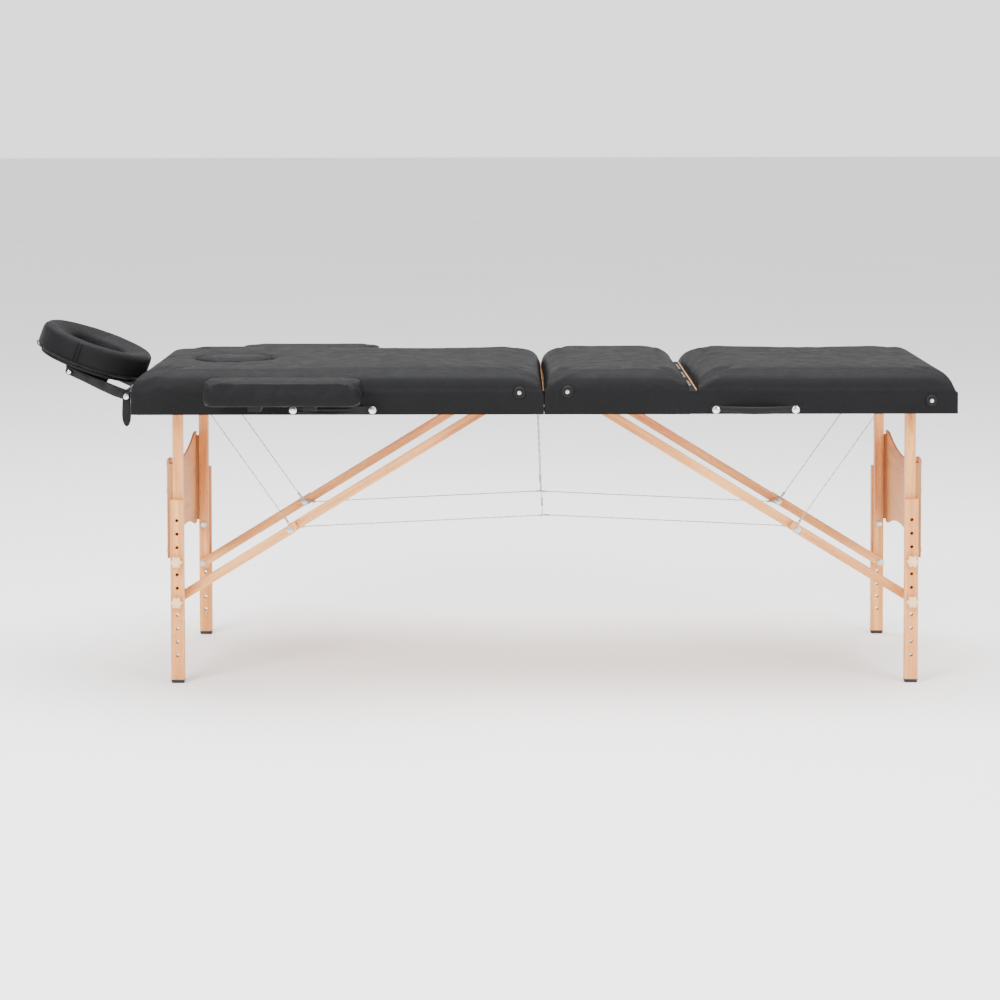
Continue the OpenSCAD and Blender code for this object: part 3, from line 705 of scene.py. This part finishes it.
def make_gap_lining():
    """Vinyl over the deck and its edges where the seat and backrest pads part."""
    bm = bmesh.new()
    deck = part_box("foot_deck")[1].z + 0.0004
    x0, x1 = (at(FOOT, d) for d in LINING_D)
    rows = [(-COVER_Y, RAIL_TOP - 0.002), (-COVER_Y, deck - 0.001), (-COVER_Y + 0.001, deck),
            (COVER_Y - 0.001, deck), (COVER_Y, deck - 0.001), (COVER_Y, RAIL_TOP - 0.002)]
    grid = [[bm.verts.new((x, y, z)) for y, z in rows] for x in (x0, x1)]
    for k in range(len(rows) - 1):
        bm.faces.new((grid[0][k], grid[1][k], grid[1][k + 1], grid[0][k + 1]))
    obj = from_bm("gap_lining", bm, LEATHER_SIDE, 50)
    modify(obj, "SOLIDIFY", thickness=SKIN * 0.5, offset=0.0)
    bake(obj, 50)
    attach(obj, "foot_frame")


make_gap_lining()


def make_plug():
    lo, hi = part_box("face_plug")
    cx = (lo.x + hi.x) / 2
    bm = prism(oval_outline(hi.x - lo.x - 0.001, hi.y - lo.y - 0.001, cx, 0), lo.z, hi.z + 0.001)
    rim = [e for e in bm.edges if all(v.co.z > hi.z for v in e.verts)]
    bmesh.ops.bevel(bm, geom=rim, offset=0.010, segments=5, profile=0.5, affect="EDGES")
    obj = from_bm("face_plug_pad", bm, LEATHER)
    swell(obj, 0.005, hold_low(lo.z + 0.02, hi.z - 0.008), 0.003, 4.0)
    finish_pad(obj, "face_hole_plug", ["face_plug"])


make_plug()


def make_armrest(side):
    lo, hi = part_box("armrest_%s_pad" % side)
    board = lo.z - 0.0125
    outline = outline_box(lo.x + 0.001, hi.x - 0.001, lo.y + 0.001, hi.y - 0.001, 0.028)
    bm = prism(outline, board, hi.z - 0.003)
    rim = [e for e in bm.edges if all(v.co.z > hi.z - 0.004 for v in e.verts)]
    bmesh.ops.bevel(bm, geom=rim, offset=0.018, segments=6, profile=0.5, affect="EDGES")
    low = [e for e in bm.edges if all(v.co.z < board + 0.001 for v in e.verts)]
    bmesh.ops.bevel(bm, geom=low, offset=0.010, segments=4, profile=0.5, affect="EDGES")
    obj = from_bm("armrest_%s_cushion" % side, bm, LEATHER)
    swell(obj, 0.005, hold_low(board + 0.002, board + 0.012), 0.005, 4.5, 0.008)
    finish_pad(obj, "armrest_" + side, ["armrest_%s_pad" % side])


make_armrest("front")
make_armrest("rear")


# ---------------------------------------------------------------- face ring
RING_TILT = math.radians(20)
RING_T = 0.066
BAND_Z, BAND_R, BAND_OUT = 0.0065, 0.0014, 0.0004


def ring_matrix():
    end = at(HEAD, HALF)
    x = end - 0.019 - 0.1325 * math.cos(RING_TILT)
    z = TOP - 0.054 + 0.1325 * math.sin(RING_TILT)
    return Matrix.Translation((x, 0, z)) @ Matrix.Rotation(RING_TILT, 4, "Y")


def make_ring():
    place = ring_matrix()
    outer = [(y, x) for x, y in oval_outline(0.286, 0.261, count=28)][::-1]
    inner = [(y, x) for x, y in oval_outline(0.151, 0.126, count=28)][::-1]
    bm = bmesh.new()
    n = len(outer)
    prof_n = 12
    rings = [[] for _ in range(2 * prof_n)]
    t = RING_T - 0.003
    for (ox, oy), (ix, iy) in zip(outer, inner):
        a, b = Vector((ox, oy, 0)), Vector((ix, iy, 0))
        mid, half = (a + b) / 2, (a - b) / 2
        for k in range(2 * prof_n):
            w = math.tau * (k + 0.5) / (2 * prof_n)
            cx = math.copysign(abs(math.cos(w)) ** 0.36, math.cos(w))
            cz = math.copysign(abs(math.sin(w)) ** 0.40, math.sin(w))
            dish = 1.0 - 0.30 * ((1 - cx) / 2) ** 1.3
            p = mid + half * cx + Vector((0, 0, (t / 2 + t / 2 * cz) * (dish if cz > -0.5 else 1.0)))
            rings[k].append(bm.verts.new(p))
    m = 2 * prof_n
    for k in range(m):
        r0, r1 = rings[k], rings[(k + 1) % m]
        for i in range(n):
            bm.faces.new((r0[i], r0[(i + 1) % n], r1[(i + 1) % n], r1[i]))
    obj = from_bm("face_ring_cushion", bm, LEATHER)
    swell(obj, 0.005, lambda co: 1.0 if co.z < 0.001 else 0.0, 0.0032, 4.0, 0.01)
    obj.data.transform(place)
    finish_pad(obj, "headrest_cradle", ["headrest_cushion"], None)
    # zipper band round the foot of the wall
    low = [(y, x) for x, y in oval_outline(0.2900, 0.2650, count=40)]
    bm = bmesh.new()
    path = []
    for x, y in low:
        d = Vector((x, y)).normalized() * BAND_OUT
        path.append((x + d.x, y + d.y, BAND_Z))
    tube(bm, path, BAND_R, 8, True)
    obj = from_bm("face_ring_piping", bm, LEATHER_SIDE)
    obj.data.transform(place)
    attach(obj, "headrest_cradle")
    # pairs of stitched joints up the wall
    bm = bmesh.new()
    for ang in (100, 262):
        a = math.radians(ang)
        for da in (-0.035, 0.035):
            path = []
            for k in range(9):
                z = 0.010 + 0.044 * k / 8
                bulge = 0.0012 * math.sin(math.pi * k / 8)
                x = (0.1325 + bulge) * math.cos(a + da)
                y = (0.1325 + bulge) * math.sin(a + da)
                y += math.copysign(0.0125, math.sin(a))
                path.append((x, y, z))
            tube(bm, path, 0.0010, 6)
    obj = from_bm("face_ring_wall_seams", bm, LEATHER_SIDE)
    obj.data.transform(place)
    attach(obj, "headrest_cradle")


make_ring()


# ---------------------------------------------------------------- wood and sheet parts
for half in ("head", "foot"):
    brace = WOOD_BRACE_HEAD if half == "head" else WOOD_BRACE_FOOT
    refine(half + "_side_rails", half + "_frame", WOOD_X, 0.001, 2, CORNER_CUT, True)
    refine(half + "_cross_rails", half + "_frame", WOOD_Y, 0.001, 2, CORNER_CUT, True)
    refine(half + "_deck", half + "_frame", PLY_DECK, 0.0004, 1, CORNER_CUT, True)
    refine(half + "_upper_legs", half + "_leg_frame", WOOD_Z, 0.0016)
    refine(half + "_leg_panel", half + "_leg_frame", PLY_PANEL, 0.0007)
    refine(half + "_leg_bolts", half + "_leg_frame", ZINC, 0.0007)
    refine(half + "_leg_boards", half + "_leg_extension", WOOD_Z, 0.0014)
    refine(half + "_upper_braces", half + "_upper_brace", brace, 0.0014)
    refine(half + "_lower_braces", half + "_lower_brace", brace, 0.0014)
    refine(half + "_elbow_bolts", half + "_lower_brace", ZINC, 0.0008)
    refine(half + "_elbow_studs", half + "_upper_brace", ZINC, 0.0006)
    refine(half + "_hinge_leaves", half + "_frame", ZINC, 0.0003, 1)
    refine(half + "_hardware", half + "_frame", ZINC, 0.0007)
refine("hinge_pins", "head_frame", ZINC, 0.0004)
refine("backrest_board", "backrest", PLY_DECK, 0.0005, 2, CORNER_CUT, True)
refine("backrest_leaf", "backrest", DARK, 0.0004)
refine("backrest_prop", "prop", DARK, 0.0012)
refine("headrest_rods", "headrest_carriage", CHROME, 0.0012)
refine("headrest_platform", "headrest_cradle", BLACK, 0.0010)
# the armrest bases are coloured black as painted shade, standing for the shadow under the cushions
refine("armrest_front_base", "armrest_front", BLACK, 0.0012)
refine("armrest_rear_base", "armrest_rear", BLACK, 0.0012)


# ---------------------------------------------------------------- headrest arms and cam lever
CRADLE = Vector((at(HEAD, HALF) - 0.040, 0, UNDER + 0.020))
TILT = CRADLE + Vector((-0.135, 0, 0.056))


def side_plate(bm, outline, y0, y1, place):
    """Adds a plate with the given side outline (x, z in mm) between y0 and y1, put in place."""
    rows = [[bm.verts.new(place @ Vector((x * MM, y, z * MM))) for x, z in outline] for y in (y0, y1)]
    n = len(outline)
    bm.faces.new(rows[0])
    bm.faces.new(rows[1][::-1])
    for k in range(n):
        bm.faces.new((rows[0][k], rows[1][k], rows[1][(k + 1) % n], rows[0][(k + 1) % n]))


def make_headrest_arms():
    way = CRADLE - TILT
    place = Matrix.Translation(TILT) @ Matrix.Rotation(math.atan2(-way.z, way.x), 4, "Y")
    arm = [(-9, -4), (-10.5, 1), (-8, 8), (-3, 10.5), (4, 11), (60, 9.5), (120, 10), (146, 11),
           (153, 9), (157, 3), (157, -3), (153, -9), (146, -12), (118, -14), (80, -12.5),
           (40, -9.5), (8, -8), (-4, -8)]
    panels = [(16, 46), (52, 84), (90, 124)]
    bm = bmesh.new()
    for e in (-1, 1):
        y0, y1 = sorted((e * 0.101, e * 0.108))
        side_plate(bm, arm, y0, y1, place)
        for a, b in panels:
            low = -8.2 if a < 20 else -10.2
            pad = [(a, low + 1), (a + 1, low), (b - 1, low - 1.2), (b, low),
                   (b, 5.5), (b - 1, 6.5), (a + 1, 6.8), (a, 5.8)]
            y0, y1 = sorted((e * 0.1079, e * 0.1092))
            side_plate(bm, pad, y0, y1, place)
    way_mid = (CRADLE + TILT) / 2
    turned(bm, way_mid + Vector((0, -0.1012, 0)), (0, 1, 0), [(0.006, 0.0), (0.006, 0.2024)], 24)
    obj = from_bm("headrest_tilt_arms", bm, DARK)
    modify(obj, "BEVEL", width=0.0009, segments=2, limit_method="ANGLE", angle_limit=math.radians(40))
    bake(obj, 32)
    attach(obj, "headrest_arm")
    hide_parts("headrest_arms")
    bm = bmesh.new()
    for e in (-1, 1):
        turned(bm, TILT + Vector((0, e * 0.1125, 0)), (0, e, 0),
               [(0.0056, 0.0), (0.0056, 0.0008), (0.0046, 0.0020), (0.0022, 0.0027), (0.0, 0.0028)], 24)
    dots = from_bm("headrest_pivot_caps", bm, CHROME, 60)
    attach(dots, "headrest_cradle")


def make_lever():
    hub = [(9.5 * math.cos(math.radians(a)), 9.5 * math.sin(math.radians(a))) for a in range(-20, 201, 20)]
    tail = [(-9.6, -14), (-10.4, -30), (-10.6, -46), (-9.0, -58), (-6.0, -66), (-2.0, -70.5),
            (2.0, -70.5), (6.0, -66), (8.6, -58), (9.8, -46), (9.4, -30), (8.8, -14)]
    place = Matrix.Translation(CRADLE)
    bm = bmesh.new()
    side_plate(bm, hub + tail, -0.1255, -0.1140, place)
    obj = from_bm("headrest_cam_handle", bm, BLACK)
    modify(obj, "BEVEL", width=0.0026, segments=4, limit_method="ANGLE", angle_limit=math.radians(50))
    bake(obj, 45)
    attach(obj, "headrest_cam_lever")
    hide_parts("headrest_lever")


make_headrest_arms()
make_lever()


# ---------------------------------------------------------------- feet, knobs, buttons, handles
def make_feet(half):
    lo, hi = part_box(half + "_feet")
    bm = bmesh.new()
    wy = 0.0093
    for e in (-1, 1):
        cy = e * (hi.y - wy)
        for z0, z1, grow in ((0.0, 0.0030, -0.0008), (0.0030, 0.0046, -0.0016), (0.0046, 0.0080, 0.0)):
            part = prism(outline_box(lo.x - grow, hi.x + grow, cy - wy - grow, cy + wy + grow, 0.004), z0, z1)
            mesh = bpy.data.meshes.new("tmp")
            part.to_mesh(mesh)
            part.free()
            bm.from_mesh(mesh)
            bpy.data.meshes.remove(mesh)
    obj = from_bm(half + "_rubber_feet", bm, RUBBER)
    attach(obj, half + "_leg_extension")
    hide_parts(half + "_feet")


def make_knob(half, side, level):
    node = "knob_%s_%s_%s" % (half, side, level)
    lo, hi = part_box(node)
    c = (lo + hi) / 2
    e = -1 if side == "front" else 1
    base = lo.y if e > 0 else hi.y
    bm = bmesh.new()
    n = 72
    rings = []
    for h, r, lobe in ((0.0, 0.0072, 0), (0.0002, 0.0080, 0), (0.0050, 0.0080, 0), (0.0055, 0.0112, 0.0012),
                       (0.0066, 0.0122, 0.0017), (0.0085, 0.0124, 0.0018), (0.0155, 0.0121, 0.0018),
                       (0.0174, 0.0112, 0.0014), (0.0186, 0.0092, 0.0007), (0.0190, 0.0068, 0.0),
                       (0.0186, 0.0050, 0.0), (0.0184, 0.0008, 0.0)):
        ring = []
        for k in range(n):
            a = math.tau * k / n
            rr = r + lobe * math.cos(6 * a)
            ring.append(bm.verts.new((c.x + rr * math.cos(a), base + e * h, c.z + rr * math.sin(a))))
        rings.append(ring)
    for r0, r1 in zip(rings, rings[1:]):
        for k in range(n):
            bm.faces.new((r0[k], r0[(k + 1) % n], r1[(k + 1) % n], r1[k]))
    bm.faces.new(rings[0])
    bm.faces.new(rings[-1])
    obj = from_bm(node + "_grip", bm, KNOB, 50)
    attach(obj, node + "_body")
    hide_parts(node)


def strap_section(w, t):
    """Closed outline of the strap: flat inside, two raised ribs outside."""
    pts = [(-w / 2, 0), (w / 2, 0), (w / 2, t * 0.55)]
    for k in range(1, 16):
        u = w / 2 - w * k / 16
        rib = 0.0011 * (math.exp(-((abs(u) - w * 0.27) / 0.0016) ** 2))
        edge = min(1.0, (w / 2 - abs(u)) / 0.0022)
        pts.append((u, t * (0.55 + 0.45 * edge ** 0.5) + rib))
    pts.append((-w / 2, t * 0.55))
    return pts


def make_handle(half, s):
    d0 = 0.476
    z0 = UNDER + 0.010
    sec = strap_section(0.0175, 0.0034)
    rows = []
    n = 44
    for i in range(n + 1):
        u = -0.102 + 0.204 * i / n
        reach = max(0.0, 1 - (u / 0.080) ** 2)
        out = 0.0185 * reach ** 1.25
        y = -0.2998 - out
        tab = 1.0 if abs(u) > 0.080 else 0.92
        if abs(u) > 0.094:
            tab *= math.sqrt(max(0.05, 1 - ((abs(u) - 0.094) / 0.0095) ** 2))
        rows.append((at(s, d0 + u), y, z0 + 0.0005 - 0.0007 * reach, tab))
    bm = bmesh.new()
    rings = []
    for x, y, z, tab in rows:
        rings.append([bm.verts.new((x, y - v, z + w * tab)) for w, v in sec])
    m = len(sec)
    for r0, r1 in zip(rings, rings[1:]):
        for k in range(m):
            bm.faces.new((r0[k], r0[(k + 1) % m], r1[(k + 1) % m], r1[k]))
    bm.faces.new(rings[0][::-1])
    bm.faces.new(rings[-1])
    obj = from_bm(half + "_handle_strap", bm, BLACK, 40)
    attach(obj, half + "_frame")
    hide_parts(half + "_handle")
    # domed rivets over the strap ends
    bm = bmesh.new()
    for m_ in (-1, 1):
        turned(bm, (at(s, d0 + m_ * 0.0895), -0.3030, z0), (0, -1, 0),
               [(0.0090, 0.0), (0.0090, 0.0010), (0.0084, 0.0020),
                (0.0066, 0.0030), (0.0036, 0.0036), (0.0, 0.0037)])
    rivets = from_bm(half + "_handle_rivets", bm, CHROME, 60)
    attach(rivets, half + "_frame")


def make_bumpers(half, s, spots):
    bm = bmesh.new()
    screws = bmesh.new()
    for d, z in spots:
        c = (at(s, d), -0.2995, z)
        turned(bm, c, (0, -1, 0), [(0.0128, 0.0), (0.0135, 0.0008), (0.0135, 0.0040), (0.0126, 0.0056),
                                   (0.0108, 0.0064), (0.0070, 0.0066), (0.0058, 0.0058), (0.0, 0.0058)], 40)
        turned(screws, (c[0], c[1] - 0.0050, c[2]), (0, -1, 0),
               [(0.0046, 0.0), (0.0046, 0.0020), (0.0038, 0.0030), (0.0016, 0.0033), (0.0, 0.0033)], 24)
    obj = from_bm(half + "_round_bumper", bm, BLACK, 50)
    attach(obj, half + "_frame")
    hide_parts(half + ("_bumper" if half == "head" else "_bumpers"))
    pins = from_bm(half + "_bumper_screw", screws, DARK, 50)
    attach(pins, half + "_frame")


for half, s, spots in (("head", HEAD, ((0.056, TOP - 0.048),)),
                       ("foot", FOOT, ((0.052, TOP - 0.046), (0.871, UNDER + 0.030)))):
    make_feet(half)
    make_handle(half, s)
    make_bumpers(half, s, spots)
    for side in ("front", "rear"):
        for level in ("upper", "lower"):
            make_knob(half, side, level)


# ---------------------------------------------------------------- support cables
ROPE_R = 0.0011
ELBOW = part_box("head_elbow_bolts")
ELBOW_D = SEAM - (ELBOW[0].x + ELBOW[1].x) / 2
ELBOW_Z = (ELBOW[0].z + ELBOW[1].z) / 2
STAY_Y = 0.1742
LINK_Y = 0.1706


def strand_between(bm, a, b, r, sides=8, twist=0.0):
    """Straight rope between two points, with its strands as a shallow spiral when twist is set."""
    a, b = Vector(a), Vector(b)
    length = (b - a).length
    n = max(1, int(length / 0.0035)) if twist else 1
    t = (b - a).normalized()
    side = t.cross(Vector((0, 1, 0))).normalized()
    up = t.cross(side)
    rings = []
    for i in range(n + 1):
        p = a + (b - a) * (i / n)
        ring = []
        for k in range(sides):
            w = math.tau * k / sides + twist * i
            rr = r * (1.0 if not twist or k % 2 else 0.82)
            ring.append(bm.verts.new(p + side * (rr * math.cos(w)) + up * (rr * math.sin(w))))
        rings.append(ring)
    for r0, r1 in zip(rings, rings[1:]):
        for k in range(sides):
            bm.faces.new((r0[k], r0[(k + 1) % sides], r1[(k + 1) % sides], r1[k]))
    bm.faces.new(rings[0][::-1])
    bm.faces.new(rings[-1])


def eye(bm, s, y, aim):
    """Teardrop loop of rope round the elbow stud, closed by an oval crimp sleeve towards aim."""
    c = Vector((at(s, ELBOW_D), y, ELBOW_Z))
    t = (Vector(aim) - c)
    t.y = 0
    t.normalize()
    side = Vector((-t.z, 0, t.x))
    path = []
    for k in range(17):
        w = math.radians(70 + 220 * k / 16)
        path.append(c + t * (0.0048 * math.cos(w)) + side * (0.0048 * math.sin(w)))
    tail = c + t * 0.017
    path = [tail + side * 0.0011] + path + [tail - side * 0.0011]
    tube(bm, path, ROPE_R, 8)
    tube(bm, [c + t * (0.0155 + 0.0125 * k / 6) for k in range(7)],
         lambda u: 0.0027 - 0.0007 * abs(2 * u - 1) ** 4, 12)
    return c + t * 0.020


def make_cables(half, s):
    bm = bmesh.new()
    link_y = LINK_Y if s < 0 else LINK_Y - 0.004
    for e in (-1, 1):
        top = (at(s, 0.802), e * (STAY_Y + 0.0002), RAIL_TOP - 0.0143)
        strand_between(bm, eye(bm, s, e * (STAY_Y + 0.0002), top), top, ROPE_R, 8, 0.35)
        strand_between(bm, Vector(top) + Vector((-s * 0.004, 0, -0.006)), Vector(top), 0.0030, 10)
        kink = (at(s, 0.0004), e * link_y, ELBOW_Z + 0.027)
        strand_between(bm, eye(bm, s, e * link_y, kink), kink, ROPE_R, 8, 0.35)
        strand_between(bm, Vector(kink) + Vector((s * 0.012, 0, -0.0005)), kink, 0.0019, 10)
        if s < 0:
            hang = (at(s, 0.012), kink[1], UNDER - 0.0003)
            low = (at(s, 0.0025), kink[1], kink[2] + 0.001)
            strand_between(bm, hang, low, ROPE_R, 8, 0.35)
            sleeve_top = (at(s, 0.0042), kink[1], kink[2] + 0.040)
            sleeve_end = (at(s, 0.0034), kink[1], kink[2] + 0.022)
            strand_between(bm, sleeve_top, sleeve_end, 0.0024, 10)
    obj = from_bm(half + "_support_cables", bm, ROPE, 50)
    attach(obj, half + "_frame")
    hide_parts(half + "_cables")
    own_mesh(obj)


make_cables("head", HEAD)
make_cables("foot", FOOT)


# ---------------------------------------------------------------- floor and light
FLOOR = 90.0  # half the floor plane


def add_floor():
    mesh = bpy.data.meshes.new("floor")
    bm = bmesh.new()
    corners = ((-FLOOR, -FLOOR), (FLOOR, -FLOOR), (FLOOR, FLOOR), (-FLOOR, FLOOR))
    bm.faces.new([bm.verts.new((x, y, 0.0)) for x, y in corners])
    bm.to_mesh(mesh)
    bm.free()
    floor = bpy.data.objects.new("floor", mesh)
    bpy.context.scene.collection.objects.link(floor)
    g = Graph("pale_floor")
    patch = g.noise(g.mapping(), 0.7, 3)
    tone = g.ramp(patch, "Fac", [(0.3, (0.90, 0.90, 0.90)), (0.7, (0.93, 0.93, 0.93))])
    g.link(tone, "Color", g.bsdf, "Base Color")
    g.bsdf.inputs["Roughness"].default_value = 0.7
    mesh.materials.append(g.mat)


def add_light(name, at_, aim, size, power, tint=(1, 1, 1)):
    data = bpy.data.lights.new(name, "AREA")
    data.shape = "RECTANGLE"
    data.size, data.size_y = size
    data.energy = power
    data.color = tint
    obj = bpy.data.objects.new(name, data)
    bpy.context.scene.collection.objects.link(obj)
    obj.location = at_
    obj.rotation_mode = "QUATERNION"
    obj.rotation_quaternion = (Vector(aim) - Vector(at_)).to_track_quat("-Z", "Y")


def add_world(strength):
    """Soft studio sky: bright low band and overhead, dimmer between."""
    world = bpy.data.worlds.new("studio")
    world.use_nodes = True
    tree = world.node_tree
    bg = tree.nodes["Background"]
    bg.inputs["Strength"].default_value = strength
    coord = tree.nodes.new("ShaderNodeTexCoord")
    split = tree.nodes.new("ShaderNodeSeparateXYZ")
    ramp = tree.nodes.new("ShaderNodeValToRGB")
    tree.links.new(coord.outputs["Generated"], split.inputs["Vector"])
    tree.links.new(split.outputs["Z"], ramp.inputs["Fac"])
    tree.links.new(ramp.outputs["Color"], bg.inputs["Color"])
    stops = ((0.0, 1.0), (0.060, 1.0), (0.095, 0.36), (0.42, 0.38), (0.75, 1.0))
    while len(ramp.color_ramp.elements) < len(stops):
        ramp.color_ramp.elements.new(0.5)
    for stop, (where, value) in zip(ramp.color_ramp.elements, stops):
        stop.position = where
        stop.color = (value, value, value, 1)
    bpy.context.scene.world = world


add_floor()
add_world(1.9)
add_light("top_soft", (0.2, 0.4, 4.4), (0, 0, 0.6), (5.0, 2.4), 420)
add_light("key_soft", (-2.6, -3.6, 3.4), (0, 0, 0.5), (2.6, 2.0), 360)
add_light("fill_soft", (3.4, -3.4, 2.2), (0, 0, 0.4), (2.4, 2.0), 190)
